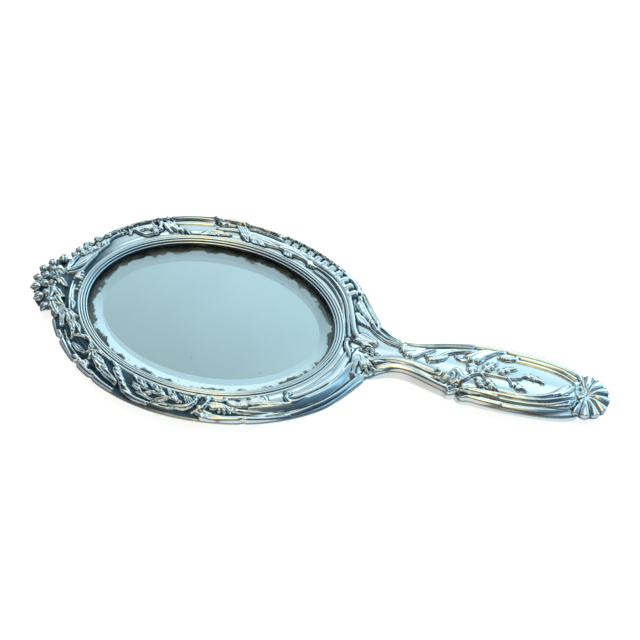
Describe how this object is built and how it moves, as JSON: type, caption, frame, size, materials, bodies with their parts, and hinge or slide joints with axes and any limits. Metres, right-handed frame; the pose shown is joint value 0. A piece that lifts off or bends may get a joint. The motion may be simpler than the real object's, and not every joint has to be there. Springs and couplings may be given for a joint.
{
  "type": "hand mirror",
  "caption": "Bevelled oval hand mirror in a stamped silver frame with scrolling leaves, a flower crest and a shaped flat handle ending in a fluted scallop.",
  "frame": {"origin": "in the plane that the back rests on, below the middle of the overall length and width", "axes": "+X along the mirror from the crest towards the butt of the handle, +Z out of the glass, +Y across the head"},
  "size_m": [0.29, 0.1222, 0.0155],
  "materials": {
    "silver": "polished silver with dark oxide in the recesses",
    "plate_glass": "polished, bevelled",
    "silvering": "aged silvering, spotted at the edge",
    "backing_paint": "matt red oxide paint",
    "felt": "pressed felt",
    "card": "plain",
    "board": "planed, unvarnished",
    "cement": "matt cast filling",
    "steel": "rolled",
    "screw_brass": "turned"
  },
  "bodies": {
    "root": {"front_shell": "silver", "back_shell": "silver", "edge_wire": "silver", "glass_bezel": "silver", "crest_bouquet": "silver", "butt_scallop": "silver", "mirror_glass": "plate_glass", "silvering": "silvering", "backing_paint": "backing_paint", "edge_felt": "felt", "cushion_card": "card", "backing_board": "board", "frame_fill": "cement", "handle_core": "cement", "tang": "steel", "tang_screws": "screw_brass"}
  },
  "joints": []
}
